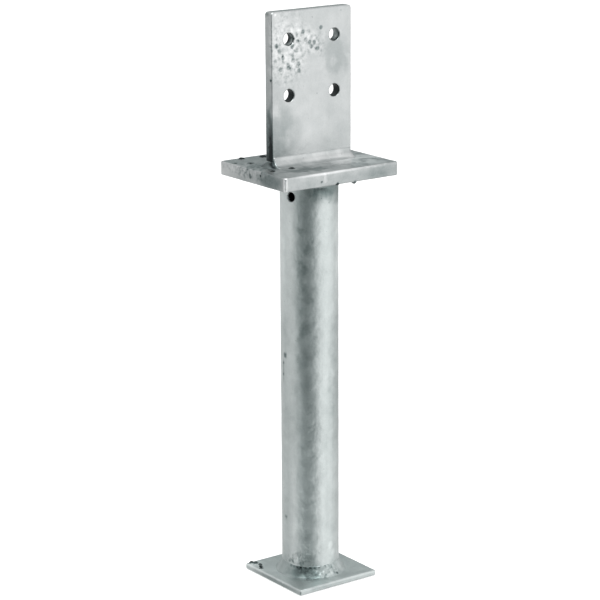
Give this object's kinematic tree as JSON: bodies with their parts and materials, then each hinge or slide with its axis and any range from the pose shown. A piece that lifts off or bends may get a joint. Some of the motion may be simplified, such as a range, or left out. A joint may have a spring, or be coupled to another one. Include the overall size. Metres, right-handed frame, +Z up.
{
  "type": "post anchor",
  "caption": "Galvanised steel post base: an upright drilled knife plate on a bearing plate, carried by a round tube on a square foot plate that is cast into concrete.",
  "frame": {"origin": "on the tube's axis, at the underside of the foot plate", "axes": "+Z up along the tube, +X along the knife plate's width, +Y across its thickness"},
  "size_m": [0.1, 0.08, 0.424],
  "materials": {
    "galvanised_plate": "hot-dip galvanised, dull zinc grey",
    "galvanised_tube": "hot-dip galvanised, satin zinc grey",
    "galvanised_weld": "uneven weld bead, hot-dip galvanised"
  },
  "bodies": {
    "root": {"base_plate": "galvanised_plate", "post_tube": "galvanised_tube", "base_weld": "galvanised_weld", "bearing_plate": "galvanised_plate", "collar_weld": "galvanised_weld", "knife_plate": "galvanised_plate", "knife_weld_front": "galvanised_weld", "knife_weld_back": "galvanised_weld", "knife_weld_left": "galvanised_weld", "knife_weld_right": "galvanised_weld"}
  },
  "joints": []
}
